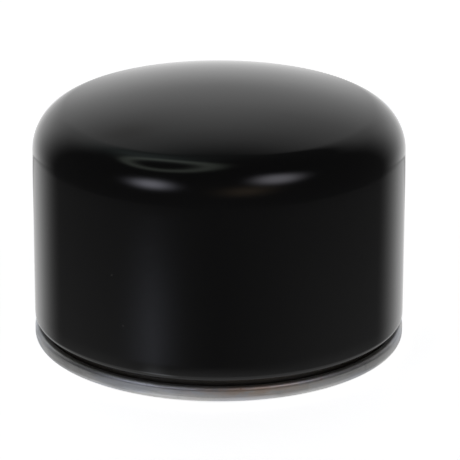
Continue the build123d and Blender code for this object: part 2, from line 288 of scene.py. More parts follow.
class Surface:
    """Where a point lies on the filter: its place, and its turn, radius and height round +Z."""

    def __init__(self, shade: Shade) -> None:
        """Add the coordinate nodes.

        Args:
            shade: the material's node tree.
        """
        place = shade.node("ShaderNodeTexCoord")
        self.shade = shade
        self.place = shade.out(place, "Object")
        apart = shade.node("ShaderNodeSeparateXYZ", {}, {0: self.place})
        self.x = shade.field(apart, "X")
        self.y = shade.field(apart, "Y")
        self.z = shade.field(apart, "Z")
        self.turn = self.y.math("ARCTAN2", self.x)
        self.radius = (self.x * self.x + self.y * self.y) ** 0.5

    def wrapped(self, around: float, along: float, radius: float) -> bpy.types.NodeSocket:
        """Return a vector that stretches a texture round the axis, without a join.

        Args:
            around: its fineness round the axis, per metre.
            along: its fineness along the axis, per metre.
            radius: the radius where around holds, in metres.

        Returns:
            The vector's socket.
        """
        across = self.x / self.radius * (around * radius)
        deep = self.y / self.radius * (around * radius)
        inputs = {0: across, 1: deep, 2: (self.z + self.radius) * along}
        return self.shade.out(self.shade.node("ShaderNodeCombineXYZ", {}, inputs))


# ---------------------------------------------------------------- finishes
@dataclass(frozen=True)
class Finish:
    """A procedural material; each kind of finish paints its own nodes."""

    name: str

    def material(self) -> bpy.types.Material:
        """Return the material, made once."""
        made = bpy.data.materials.get(self.name)
        if made:
            return made
        made = bpy.data.materials.new(self.name)
        made.use_nodes = True
        shade = Shade(made.node_tree)
        shader = shade.node("ShaderNodeBsdfPrincipled")
        self.paint(shade, Surface(shade), shader)
        shade.node("ShaderNodeOutputMaterial", {}, {"Surface": shade.out(shader)})
        return made

    def paint(self, shade: Shade, at: Surface, shader: bpy.types.Node) -> None:
        """Set the shader's values and links.

        Args:
            shade: the material's node tree.
            at: coordinates on the filter.
            shader: the Principled shader.
        """
        raise NotImplementedError

    @staticmethod
    def link(shade: Shade, shader: bpy.types.Node, **inputs: Any) -> None:
        """Set or link the shader's sockets.

        Args:
            shade: the material's node tree.
            shader: the Principled shader.
            inputs: sockets by name, with _ for a space.
        """
        for name, value in inputs.items():
            socket = shader.inputs[name.replace("_", " ")]
            if isinstance(value, Field):
                shade.tree.links.new(value.socket, socket)
            elif isinstance(value, bpy.types.NodeSocket):
                shade.tree.links.new(value, socket)
            else:
                socket.default_value = _colour(value) if isinstance(value, tuple) else value


@dataclass(frozen=True)
class GlossEnamel(Finish):
    """Black stoved enamel: deep gloss, faint orange peel, handling smears and a little dust."""

    colour: tuple[float, float, float] = (0.0035, 0.0035, 0.0036)
    dust_colour: tuple[float, float, float] = (0.12, 0.115, 0.105)
    gloss: float = 0.055
    # grime and painted light: a lighter brown for the groove above the seam, which lifts the groove's
    # shade
    grime_and_painted_light: tuple[float, float, float] = (0.034, 0.030, 0.023)
    grime_and_painted_light_height: float = 5.0 * MM

    def paint(self, shade: Shade, at: Surface, shader: bpy.types.Node) -> None:
        """Paint the enamel; see Finish.paint for the arguments."""
        smear = shade.noise(at.place, 38.0, 4.0).steps(0.42, 0.72)
        rub = shade.noise(at.wrapped(60.0, 420.0, WRAP_RADIUS), 1.0, 3.0).steps(0.5, 0.8)
        dust = shade.specks(at.place, 900.0, 0.15, 0.012)
        # below the foot the enamel turns lighter brown, partly grime and partly painted light over the
        # groove's shade
        groove = at.z.steps(self.grime_and_painted_light_height + 0.8 * MM, self.grime_and_painted_light_height)
        peel = shade.noise(at.place, 520.0, 1.5)
        draw = shade.noise(at.place, 60.0, 1.0)
        height = peel * 0.22 + draw * 1.0
        self.link(
            shade, shader,
            Base_Color=shade.mix(groove, shade.mix(dust * 0.3, self.colour, self.dust_colour), self.grime_and_painted_light),
            Roughness=smear * 0.022 + rub * 0.016 + dust * 0.3 + groove * 0.3 + self.gloss,
            Normal=shade.bump(height, 0.012 * MM),
            IOR=1.5,
        )


@dataclass(frozen=True)
class BareSheet(Finish):
    """Bare rolled sheet steel: drawn streaks round the axis, cloudy tin and small stains."""

    colour: tuple[float, float, float] = (0.60, 0.585, 0.56)
    shadow: tuple[float, float, float] = (0.34, 0.315, 0.28)
    roughness: float = 0.27

    def paint(self, shade: Shade, at: Surface, shader: bpy.types.Node) -> None:
        """Paint the sheet; see Finish.paint for the arguments."""
        streak = shade.noise(at.wrapped(90.0, 3800.0, WRAP_RADIUS), 1.0, 4.0, 0.65)
        cloud = shade.noise(at.place, 130.0, 5.0, 0.6)
        stain = shade.noise(at.place, 420.0, 4.0, 0.7).steps(0.52, 0.78)
        roller = shade.noise(at.wrapped(1500.0, 60.0, WRAP_RADIUS), 1.0, 2.0)
        scuff = shade.specks(at.wrapped(260.0, 1500.0, WRAP_RADIUS), 1.0, 0.3, 0.12)
        colour = shade.mix(stain * 0.6 + (1 - cloud) * 0.22, self.colour, self.shadow)
        height = streak * 0.5 + roller * 0.5 + cloud * 0.6
        self.link(
            shade, shader,
            Base_Color=self.tinted(shade, at, colour),
            Metallic=1.0,
            Roughness=streak * 0.16 + cloud * 0.14 + scuff * 0.12 + (self.roughness - 0.12),
            Normal=shade.bump(height, 0.02 * MM),
        )

    def tinted(self, shade: Shade, at: Surface, colour: Any) -> Any:
        """Return the sheet's colour with local tints; plain sheet has none.

        Args:
            shade: the material's node tree.
            at: coordinates on the filter.
            colour: the sheet's colour so far.

        Returns:
            The colour to use.
        """
        return colour


@dataclass(frozen=True)
class SeamSheet(BareSheet):
    """The lid's sheet: blued in patches, weld heat rings, a flash of rust on the seam's lip."""

    cool: tuple[float, float, float] = (0.68, 0.70, 0.745)
    dull: tuple[float, float, float] = (0.42, 0.425, 0.43)
    rust: tuple[float, float, float] = (0.76, 0.60, 0.50)
    rust_spot: tuple[float, float, float] = (0.50, 0.22, 0.10)
    rust_turn: float = -1.38
    rust_spread: float = 0.26
    rust_height: float = 3.6 * MM
    seam_radius: float = 36.9 * MM
    weld_circle: float = 26.2 * MM
    welds: int = 8
    heat_reach_mm: float = 6.0
    heat_fade_mm: Point = (3.4, 5.2)

    def tinted(self, shade: Shade, at: Surface, colour: Any) -> bpy.types.NodeSocket:
        """Tint the sheet; see BareSheet.tinted for the arguments."""
        blued = shade.noise(at.wrapped(70.0, 260.0, WRAP_RADIUS), 1.0, 3.0).steps(0.42, 0.60)
        colour = shade.mix(blued * 0.9, colour, self.cool)
        rubbed = shade.noise(at.wrapped(110.0, 900.0, WRAP_RADIUS), 1.0, 5.0, 0.6).steps(0.44, 0.66)
        colour = shade.mix(rubbed * 0.55, colour, self.dull)
        seam = at.radius.steps(self.seam_radius, self.seam_radius + 0.4 * MM)
        band = bell(at.z - self.rust_height, 1.1 * MM) * bell(at.turn - self.rust_turn, self.rust_spread)
        patchy = shade.noise(at.wrapped(300.0, 900.0, WRAP_RADIUS), 1.0, 3.0).steps(0.3, 0.6)
        spots = shade.specks(at.wrapped(700.0, 1600.0, WRAP_RADIUS), 1.0, 0.34, 0.3)
        colour = shade.mix(band * patchy * seam * 0.85, colour, self.rust)
        near_lip = bell(at.z - self.rust_height, 0.5 * MM)
        colour = shade.mix(spots * band * near_lip * seam * 0.8, colour, self.rust_spot)
        return self._heat(shade, at, colour)

    def _heat(self, shade: Shade, at: Surface, colour: Any) -> bpy.types.NodeSocket:
        """Tint the sheet with straw and blue rings round each spot weld.

        Args:
            shade: the material's node tree.
            at: coordinates on the filter.
            colour: the sheet's colour so far.

        Returns:
            The tinted colour.
        """
        step = 2 * pi / self.welds
        wave = (at.turn + step / 2 + 4 * pi).math("MODULO", step) - step / 2
        around = wave * self.weld_circle
        across = at.radius - self.weld_circle
        distance = (around * around + across * across) ** 0.5
        near = distance / MM + shade.noise(at.place, 900.0, 2.0) * 0.5
        ramp = shade.node(
            "ShaderNodeValToRGB",
            {"stops": [
                (0.0, (0.30, 0.28, 0.26)), (0.24, (0.42, 0.38, 0.34)), (0.32, (0.20, 0.24, 0.36)),
                (0.42, (0.50, 0.38, 0.20)), (0.60, (0.62, 0.56, 0.44)), (0.80, (0.60, 0.585, 0.56)),
            ]},
            {0: near / self.heat_reach_mm},
        )
        return shade.mix(near.steps(*self.heat_fade_mm), shade.out(ramp), colour)


@dataclass(frozen=True)
class ZincPlate(Finish):
    """Zinc-plated plate: cloudy passivation, punching marks and fine handling scratches."""

    colour: tuple[float, float, float] = (0.60, 0.60, 0.585)
    cloud_colour: tuple[float, float, float] = (0.46, 0.465, 0.48)
    straw: tuple[float, float, float] = (0.62, 0.56, 0.42)
    roughness: float = 0.32

    def paint(self, shade: Shade, at: Surface, shader: bpy.types.Node) -> None:
        """Paint the plating; see Finish.paint for the arguments."""
        cloud = shade.noise(at.place, 210.0, 5.0, 0.65)
        grain = shade.noise(at.place, 2600.0, 2.0)
        lathe = shade.noise(at.wrapped(40.0, 2600.0, 12 * MM), 1.0, 3.0)
        scratch = self._scratches(shade, at)
        warm = shade.noise(at.place, 90.0, 3.0).steps(0.5, 0.75)
        colour = shade.mix(cloud.steps(0.35, 0.7), self.colour, self.cloud_colour)
        colour = shade.mix(warm * 0.25, colour, self.straw)
        height = grain * 0.3 + lathe * 0.35 + cloud * 0.4 - scratch * 0.5
        self.link(
            shade, shader,
            Base_Color=colour,
            Metallic=1.0,
            Roughness=cloud * 0.2 + grain * 0.08 - scratch * 0.08 + (self.roughness - 0.1),
            Normal=shade.bump(height, 0.018 * MM),
        )

    @staticmethod
    def _scratches(shade: Shade, at: Surface) -> Field:
        """Return thin straight scratches in two directions.

        Args:
            shade: the material's node tree.
            at: coordinates on the filter.

        Returns:
            1 in a scratch, 0 elsewhere.
        """
        along = shade.noise(shade.scaled(at.place, (90.0, 2400.0, 400.0)), 1.0, 1.0)
        across = shade.noise(shade.scaled(at.place, (2100.0, 110.0, 400.0)), 1.0, 1.0)
        return along.steps(0.70, 0.76) * 0.8 + across.steps(0.71, 0.77) * 0.6


@dataclass(frozen=True)
class Rubber(Finish):
    """Moulded nitrile: fine matt skin with bloom and talc from the mould."""

    colour: tuple[float, float, float] = (0.014, 0.014, 0.0145)
    bloom: tuple[float, float, float] = (0.075, 0.073, 0.07)
    roughness: float = 0.5

    def paint(self, shade: Shade, at: Surface, shader: bpy.types.Node) -> None:
        """Paint the rubber; see Finish.paint for the arguments."""
        cloud = shade.noise(at.place, 160.0, 5.0, 0.65).steps(0.4, 0.8)
        skin = shade.noise(at.place, 4200.0, 2.0)
        wipe = shade.noise(at.wrapped(70.0, 900.0, 33 * MM), 1.0, 3.0).steps(0.45, 0.8)
        talc = shade.specks(at.place, 1500.0, 0.22, 0.06)
        self.link(
            shade, shader,
            Base_Color=shade.mix(cloud * 0.35 + talc * 0.5, self.colour, self.bloom),
            Roughness=cloud * 0.18 - wipe * 0.1 + skin * 0.1 + self.roughness,
            Normal=shade.bump(skin * 0.5 + cloud * 0.4, 0.02 * MM),
            IOR=1.48,
        )


@dataclass(frozen=True)
class DrawnWire(Finish):
    """Oiled spring wire, dark and streaked by the drawing die."""

    colour: tuple[float, float, float] = (0.34, 0.33, 0.32)
    oil: tuple[float, float, float] = (0.17, 0.14, 0.11)
    roughness: float = 0.3

    def paint(self, shade: Shade, at: Surface, shader: bpy.types.Node) -> None:
        """Paint the wire; see Finish.paint for the arguments."""
        streak = shade.noise(at.wrapped(30.0, 6000.0, 10 * MM), 1.0, 3.0)
        stain = shade.noise(at.place, 500.0, 3.0).steps(0.5, 0.75)
        self.link(
            shade, shader,
            Base_Color=shade.mix(stain * 0.6, self.colour, self.oil),
            Metallic=1.0,
            Roughness=streak * 0.2 + stain * 0.1 + (self.roughness - 0.1),
            Normal=shade.bump(streak, 0.008 * MM),
        )


@dataclass(frozen=True)
class FilterPaper(Finish):
    """Resin-treated paper: felted fibres, resin clouds and embossed cross ribs."""

    colour: tuple[float, float, float] = (0.60, 0.43, 0.19)
    dark: tuple[float, float, float] = (0.40, 0.25, 0.09)
    rib_pitch: float = 2.2 * MM

    def paint(self, shade: Shade, at: Surface, shader: bpy.types.Node) -> None:
        """Paint the paper; see Finish.paint for the arguments."""
        fibre = shade.noise(shade.scaled(at.place, (3000.0, 3000.0, 900.0)), 1.0, 5.0, 0.7)
        cloud = shade.noise(at.place, 110.0, 4.0)
        rib = (at.z * (2 * pi / self.rib_pitch)).math("SINE").steps(0.2, 0.95)
        mask = fibre.steps(0.4, 0.75) * 0.5 + cloud.steps(0.4, 0.7) * 0.35
        self.link(
            shade, shader,
            Base_Color=shade.mix(mask, self.colour, self.dark),
            Roughness=fibre * 0.15 + 0.78,
            Normal=shade.bump(fibre * 0.3 + rib, 0.06 * MM),
            IOR=1.45,
        )


@dataclass(frozen=True)
class CastPlastic(Finish):
    """Cast or moulded plastic: cloudy colour with small bubbles and a soft sheen."""

    colour: tuple[float, float, float] = (0.16, 0.09, 0.04)
    pale: tuple[float, float, float] = (0.24, 0.15, 0.07)
    roughness: float = 0.35

    def paint(self, shade: Shade, at: Surface, shader: bpy.types.Node) -> None:
        """Paint the plastic; see Finish.paint for the arguments."""
        cloud = shade.noise(at.place, 180.0, 4.0).steps(0.35, 0.7)
        bubble = shade.specks(at.place, 700.0, 0.3, 0.12)
        self.link(
            shade, shader,
            Base_Color=shade.mix(cloud * 0.7 + bubble * 0.3, self.colour, self.pale),
            Roughness=cloud * 0.15 + bubble * 0.2 + self.roughness,
            Normal=shade.bump(cloud * 0.6 - bubble * 0.6, 0.04 * MM),
            IOR=1.5,
        )


@dataclass(frozen=True)
class PaleSweep(Finish):
    """The studio's pale paper floor, lit from below as well as above."""

    colour: tuple[float, float, float] = (0.9, 0.9, 0.9)
    tooth_colour: tuple[float, float, float] = (0.85, 0.85, 0.85)
    glow: float = 0.84

    def paint(self, shade: Shade, at: Surface, shader: bpy.types.Node) -> None:
        """Paint the floor; see Finish.paint for the arguments."""
        tooth = shade.noise(at.place, 700.0, 2.0)
        self.link(
            shade, shader,
            Base_Color=shade.mix(tooth * 0.03, self.colour, self.tooth_colour),
            Roughness=0.9,
            Emission_Color=(1.0, 1.0, 1.0),
            Emission_Strength=self.glow,
        )


# ---------------------------------------------------------------- outlines
def arc_points(centre: Point, radius: float, start: float, end: float, steps: int) -> list[Point]:
    """Return points along an arc.

    Args:
        centre: its centre, as radius and height.
        radius: its radius.
        start: the first angle, in radians from the outward direction.
        end: the last angle.
        steps: how many pieces it is cut into.

    Returns:
        The points, both ends included.
    """
    angles = [start + (end - start) * step / steps for step in range(steps + 1)]
    return [(centre[0] + radius * cos(a), centre[1] + radius * sin(a)) for a in angles]


def bent_path(corners: Sequence[Point], bends: Sequence[float], steps: int = 8) -> list[Point]:
    """Return an open path with its inner corners rounded.

    Args:
        corners: the path's corners.
        bends: one radius for each inner corner.
        steps: how many pieces each bend is cut into.

    Returns:
        The points of the path.
    """
    path = [corners[0]]
    for before, corner, after, bend in zip(corners, corners[1:], corners[2:], bends):
        path.extend(_bend(before, corner, after, bend, steps))
    path.append(corners[-1])
    return path


def _bend(before: Point, corner: Point, after: Point, bend: float, steps: int) -> list[Point]:
    """Return the arc that rounds one corner, or the corner itself.

    Args:
        before: the corner before it.
        corner: the corner.
        after: the corner after it.
        bend: the arc's radius.
        steps: how many pieces it is cut into.

    Returns:
        The arc's points.
    """
    back = Vector((before[0] - corner[0], before[1] - corner[1])).normalized()
    on = Vector((after[0] - corner[0], after[1] - corner[1])).normalized()
    half = back.angle(on) / 2
    if bend <= 0 or half > pi / 2 - 1e-4:
        return [corner]
    centre = Vector(corner) + (back + on).normalized() * (bend / sin(half))
    first = Vector(corner) + back * (bend / tan(half)) - centre
    last = Vector(corner) + on * (bend / tan(half)) - centre
    start = atan2(first.y, first.x)
    swing = atan2(last.y, last.x) - start
    swing = (swing + pi) % (2 * pi) - pi
    return arc_points((centre.x, centre.y), bend, start, start + swing, steps)


def ring_outline(corners: Sequence[Point], bends: Sequence[float], steps: int = 6) -> list[Point]:
    """Return a closed outline with every corner rounded.

    Args:
        corners: the outline's corners, in order.
        bends: one radius for each corner.
        steps: how many pieces each rounding is cut into.

    Returns:
        The outline's points.
    """
    count = len(corners)
    outline: list[Point] = []
    for index, bend in enumerate(bends):
        before, after = corners[index - 1], corners[(index + 1) % count]
        outline.extend(_bend(before, corners[index], after, bend, steps))
    return outline


def sheet_outline(path: Sequence[Point], thickness: float) -> list[Point]:
    """Return the closed outline of sheet metal about a middle line, its ends cut square.

    Args:
        path: the middle of the sheet.
        thickness: the sheet's thickness.

    Returns:
        The outline's points.
    """
    half = thickness / 2
    left: list[Point] = []
    right: list[Point] = []
    for index, (radius, height) in enumerate(path):
        ahead = path[min(index + 1, len(path) - 1)]
        behind = path[max(index - 1, 0)]
        along = Vector((ahead[0] - behind[0], ahead[1] - behind[1])).normalized()
        left.append((radius - along.y * half, height + along.x * half))
        right.append((radius + along.y * half, height - along.x * half))
    return left + right[::-1]


def divided(outline: Sequence[Point], longest: float) -> list[Point]:
    """Return an outline with its long runs cut into equal shorter ones.

    Args:
        outline: the closed outline.
        longest: the longest run allowed.

    Returns:
        The outline's points.
    """
    points: list[Point] = []
    for start, end in zip(outline, list(outline[1:]) + [outline[0]]):
        count = max(1, int(hypot(end[0] - start[0], end[1] - start[1]) / longest))
        for step in range(count):
            share = step / count
            points.append((start[0] + (end[0] - start[0]) * share,
                           start[1] + (end[1] - start[1]) * share))
    return points


# ---------------------------------------------------------------- mesh making
def spin(name: str, outline: Sequence[Point], segments: int = 256,
         wobble: Optional[Wobble] = None) -> bpy.types.Object:
    """Spin a closed outline round +Z.

    Args:
        name: the new object's name.
        outline: points as radius and height in metres; those on the axis become poles.
        segments: how many steps the turn is cut into.
        wobble: moves a point, given its turn, radius and height.

    Returns:
        The new object.
    """
    vertices: list[tuple[float, float, float]] = []
    rows: list[list[int]] = []
    for radius, height in outline:
        if radius < 1e-7:
            rows.append([len(vertices)])
            vertices.append((0.0, 0.0, height))
            continue
        rows.append(list(range(len(vertices), len(vertices) + segments)))
        for step in range(segments):
            turn = 2 * pi * step / segments
            r, z = wobble(turn, radius, height) if wobble else (radius, height)
            vertices.append((r * cos(turn), r * sin(turn), z))
    faces: list[tuple[int, ...]] = []
    for row, after in zip(rows, rows[1:] + rows[:1]):
        for step in range(segments):
            step_on = (step + 1) % segments
            if len(row) > 1 and len(after) > 1:
                faces.append((row[step], row[step_on], after[step_on], after[step]))
            elif len(after) > 1:
                faces.append((row[0], after[step_on], after[step]))
            elif len(row) > 1:
                faces.append((row[step], row[step_on], after[0]))
    return mesh_object(name, vertices, faces)


def mesh_object(name: str, vertices: Sequence[Sequence[float]],
                faces: Sequence[Sequence[int]]) -> bpy.types.Object:
    """Return a new object from vertices and faces, its normals turned outward.

    Args:
        name: the object's name.
        vertices: its points, in metres.
        faces: vertex numbers of each face.

    Returns:
        The new object, linked to the scene.
    """
    mesh = bpy.data.meshes.new(name)
    mesh.from_pydata(vertices, [], faces)
    shape = bmesh.new()
    shape.from_mesh(mesh)
    bmesh.ops.recalc_face_normals(shape, faces=shape.faces)
    shape.to_mesh(mesh)
    shape.free()
    piece = bpy.data.objects.new(name, mesh)
    bpy.context.scene.collection.objects.link(piece)
    return piece


def cut(piece: bpy.types.Object, cutters: Sequence[bpy.types.Object]) -> None:
    """Cut holes through a piece and delete the cutters.

    Args:
        piece: the object to cut.
        cutters: closed objects that don't touch each other.
    """
    for cutter in cutters:
        modifier = piece.modifiers.new("hole", "BOOLEAN")
        modifier.operation = "DIFFERENCE"
        modifier.solver = "EXACT"
        modifier.object = cutter
    bpy.context.view_layer.update()
    evaluated = piece.evaluated_get(bpy.context.evaluated_depsgraph_get())
    mesh = bpy.data.meshes.new_from_object(evaluated)
    piece.modifiers.clear()
    piece.data = mesh
    for cutter in cutters:
        bpy.data.objects.remove(cutter)


def wire_piece(name: str, route: Sequence[tuple[float, float, float]], wire: float) -> bpy.types.Object:
    """Return round wire bent along a route, as a mesh with closed ends.

    Args:
        name: the object's name.
        route: points on the wire's middle, in metres.
        wire: its diameter.

    Returns:
        The new object.
    """
    curve = bpy.data.curves.new(name, "CURVE")
    curve.dimensions = "3D"
    curve.bevel_depth = wire / 2
    curve.bevel_resolution = 6
    curve.use_fill_caps = True
    spline = curve.splines.new("POLY")
    spline.points.add(len(route) - 1)
    for point, place in zip(spline.points, route):
        point.co = (*place, 1.0)
    draft = bpy.data.objects.new(name + "_draft", curve)
    bpy.context.scene.collection.objects.link(draft)
    bpy.context.view_layer.update()
    evaluated = draft.evaluated_get(bpy.context.evaluated_depsgraph_get())
    mesh = bpy.data.meshes.new_from_object(evaluated)
    mesh.name = name
    bpy.data.objects.remove(draft)
    piece = bpy.data.objects.new(name, mesh)
    bpy.context.scene.collection.objects.link(piece)
    return piece


def coil_route(radius: float, wire: float, floor: float, top: float, turns: float,
               steps: int = 72) -> list[tuple[float, float, float]]:
    """Return the route of a compression spring whose end turns are closed.

    Args:
        radius: to the wire's middle.
        wire: the wire's diameter.
        floor: the height of the wire's underside at the bottom.
        top: the height of its upper side at the top.
        turns: all turns, the two closed ones included.
        steps: points in each turn.

    Returns:
        The points on the wire's middle.
    """
    count = int(turns * steps)
    lift = top - floor - wire
    closed = wire * 1.02
    active = (lift - 2 * closed) / (turns - 2)
    route: list[tuple[float, float, float]] = []
    height = floor + wire / 2
    for index in range(count + 1):
        turn = index / steps
        angle = 2 * pi * turn
        route.append((radius * cos(angle), radius * sin(angle), height))
        open_share = _ease(turn - 0.75, 0.5) * _ease(turns - 0.75 - turn, 0.5)
        height += (closed + (active - closed) * open_share) / steps
    over = (route[-1][2] - (top - wire / 2)) / count
    return [(x, y, z - over * index) for index, (x, y, z) in enumerate(route)]


def _ease(value: float, width: float) -> float:
    """Return a smooth rise from 0 to 1 over a width."""
    share = min(1.0, max(0.0, value / width))
    return share * share * (3 - 2 * share)


# ---------------------------------------------------------------- sub-assemblies
@dataclass
class SubAssembly:
    """A group of pieces that is built and dressed together."""

    def place(self, piece: bpy.types.Object, finish: Finish, slot: str, *nodes: str,
              body: Optional[Body] = Body.CANISTER, crease: float = 32.0) -> bpy.types.Object:
        """Dress a new piece and put it on its body in place of CAD nodes.

        Args:
            piece: the new object.
            finish: its finish.
            slot: not used.
            nodes: the CAD nodes that it stands for.
            body: the body that it rides on; None leaves it on no body.
            crease: edges sharper than this many degrees stay sharp.

        Returns:
            The same object.
        """
        piece.data.materials.clear()
        piece.data.materials.append(finish.material())
        piece.data.shade_smooth()
        piece.data.set_sharp_from_angle(angle=radians(crease))
        if body:
            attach(piece, body.value)
        if nodes:
            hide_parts(*nodes)
        log.info("%s: %d faces", piece.name, len(piece.data.polygons))
        return piece

    def dress(self, node: str, finish: Finish) -> None:
        """Give a CAD node its finish.

        Args:
            node: the CAD node's name.
            finish: its finish.
        """
        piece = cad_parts[node]
        for material_slot in piece.material_slots:
            material_slot.material = finish.material()
        log.info("%s: kept from the CAD, finished as %s", node, finish.name)


ENAMEL = GlossEnamel("black_enamel")
BARE_LID = SeamSheet("bare_rolled_sheet", colour=(0.79, 0.79, 0.785), shadow=(0.50, 0.50, 0.49),
                     roughness=0.43)
ZINC = ZincPlate("zinc_plated_plate")
GASKET_RUBBER = Rubber("gasket_rubber")
VALVE_RUBBER = Rubber("valve_rubber", colour=(0.03, 0.026, 0.023), roughness=0.45)
CAP_TIN = BareSheet("pressed_tin", colour=(0.62, 0.61, 0.585), roughness=0.3)
TUBE_TIN = BareSheet("perforated_tin", colour=(0.58, 0.58, 0.57), roughness=0.34)
BYPASS_TIN = BareSheet("bypass_sheet", colour=(0.60, 0.55, 0.44), roughness=0.33)
CLIP_TIN = BareSheet("clip_strip", colour=(0.64, 0.64, 0.63), roughness=0.28)
WIRE = DrawnWire("spring_wire")
PAPER = FilterPaper("filter_paper")
PLASTISOL = CastPlastic("plastisol")
COMPOUND = CastPlastic("seam_compound", colour=(0.30, 0.27, 0.20), pale=(0.42, 0.39, 0.31))
NYLON = CastPlastic("natural_nylon", colour=(0.66, 0.63, 0.54), pale=(0.74, 0.72, 0.64))


@dataclass
class PaintedCan(SubAssembly):
    """The drawn and enamelled can, down to the hook that the seam closes on."""

    radius: float = 38.1 * MM
    top: float = 54.4 * MM
    steel: float = 0.55 * MM
    crown: float = 120.0 * MM
    shoulder: float = 8.94 * MM
    foot: float = 5.0 * MM
    roll: float = 1.5 * MM
    neck: float = 35.925 * MM
    hook: float = 37.175 * MM
    hook_floor: float = 1.825 * MM
    hook_top: float = 3.35 * MM
    neck_bend: float = 0.6 * MM
    fold: float = 0.45 * MM
    longest_run: float = 2.4 * MM
    segments: int = 344

    def build(self) -> None:
        """Build the can and dress it."""
        half = self.steel / 2
        crown, shoulder = self.crown - half, self.shoulder - half
        wall, foot = self.radius - half, self.foot + half
        tilt = asin((wall - shoulder) / (crown - shoulder))
        crown_centre = (0.0, self.top - self.crown)
        corner = (wall - shoulder, crown_centre[1] + (crown - shoulder) * cos(tilt))
        path = arc_points(crown_centre, crown, pi / 2, pi / 2 - tilt, 40)
        path += arc_points(corner, shoulder, pi / 2 - tilt, 0.0, 36)[1:]
        lower = bent_path(
            [(wall, corner[1]), (wall, foot), (self.neck, foot), (self.neck, self.hook_floor),
             (self.hook, self.hook_floor), (self.hook, self.hook_top)],
            [self.roll - half, self.neck_bend, self.fold, self.fold], 12,
        )
        outline = sheet_outline(path + lower[1:], self.steel)
        piece = spin("painted_can", divided(outline, self.longest_run), self.segments)
        self.place(piece, ENAMEL, "can_paint", "can", crease=50.0)


@dataclass
class RolledLid(SubAssembly):
    """The thin bare lid: inner panel, gasket channel and the rolled rim of the seam."""

    steel: float = 0.6 * MM
    mouth: float = 23.4 * MM
    panel: float = 2.1 * MM
    channel_inner: float = 30.3 * MM
    channel_top: float = 5.5 * MM
    chuck_wall: float = 35.2 * MM
    seam_floor: float = 1.2 * MM
    seam_top: float = 3.8 * MM
    rim: float = 37.8 * MM
    hook: float = 36.55 * MM
    hook_floor: float = 2.25 * MM
    bend: float = 0.6 * MM
    seam_bend: float = 1.0 * MM
    fold: float = 0.45 * MM
    weld_circle: float = 26.2 * MM
    welds: int = 8
    weld_radius: float = 1.5 * MM
    weld_depth: float = 0.2 * MM
    roller_marks: int = 46
    roller_depth: float = 0.012 * MM
    longest_run: float = 0.4 * MM
    segments: int = 432

    def build(self) -> None:
        """Build the lid and dress it."""
        path = bent_path(
            [(self.mouth, self.panel), (self.channel_inner, self.panel),
             (self.channel_inner, self.channel_top), (self.chuck_wall, self.channel_top),
             (self.chuck_wall, self.seam_floor), (self.rim, self.seam_floor),
             (self.rim, self.seam_top), (self.hook, self.seam_top), (self.hook, self.hook_floor)],
            [self.bend] * 4 + [self.seam_bend] + [self.fold] * 2, 10,
        )
        outline = divided(sheet_outline(path, self.steel), self.longest_run)
        piece = spin("rolled_lid", outline, self.segments, self._worked)
        self.place(piece, BARE_LID, "lid_steel", "seam_lid", crease=50.0)

    def _worked(self, turn: float, radius: float, height: float) -> Point:
        """Press the weld dimples into the panel and the roller's marks into the rim.

        Args:
            turn: the point's angle round the axis.
            radius: its radius.
            height: its height.

        Returns:
            The point's new radius and height.
        """
        if radius > self.chuck_wall + self.steel:
            wave = sin(turn * self.roller_marks) + 0.6 * sin(turn * 17 + 1.0) + 0.5 * sin(turn * 5)
            share = _ease(radius - self.chuck_wall - self.steel, 1.5 * MM)
            return radius - self.roller_depth * share * (1 + wave / 2.1), height
        if radius < self.channel_inner - self.bend and height < self.panel + self.steel:
            step = 2 * pi / self.welds
            around = ((turn + step / 2) % step - step / 2) * self.weld_circle
            distance = hypot(around, radius - self.weld_circle)
            dip = 1 - _ease(distance, self.weld_radius)
            return radius, height + (self.weld_depth * dip if height < self.panel else 0.0)
        return radius, height


@dataclass
class MouldedGasket(SubAssembly):
    """The base gasket: a nearly square rubber ring with a mould flash line."""

    inner: float = 30.85 * MM
    outer: float = 34.7 * MM
    thickness: float = 5.2 * MM
    edge: float = 0.5 * MM
    flash: float = 0.06 * MM
    flash_height: float = 2.9 * MM
    longest_run: float = 0.12 * MM
    segments: int = 384

    def build(self) -> None:
        """Build the gasket and dress it."""
        corners = [(self.inner, 0.0), (self.outer, 0.0), (self.outer, self.thickness),
                   (self.inner, self.thickness)]
        outline = divided(ring_outline(corners, [self.edge] * 4, 8), self.longest_run)
        piece = spin("molded_gasket", outline, self.segments, self._flash_line)
        self.place(piece, GASKET_RUBBER, "gasket_rubber", "base_gasket", crease=60.0)

    def _flash_line(self, turn: float, radius: float, height: float) -> Point:
        """Raise the mould's flash line on both walls.

        Args:
            turn: the point's angle round the axis.
            radius: its radius.
            height: its height.

        Returns:
            The point's new radius and height.
        """
        off = abs(height - self.flash_height - 0.04 * MM * sin(3 * turn))
        rise = self.flash * max(0.0, 1 - off / (0.2 * MM))
        middle = (self.inner + self.outer) / 2
        wall = (self.outer - self.inner) / 2 - 0.05 * MM
        if abs(radius - middle) < wall:
            return radius, height
        return radius + (rise if radius > middle else -rise), height


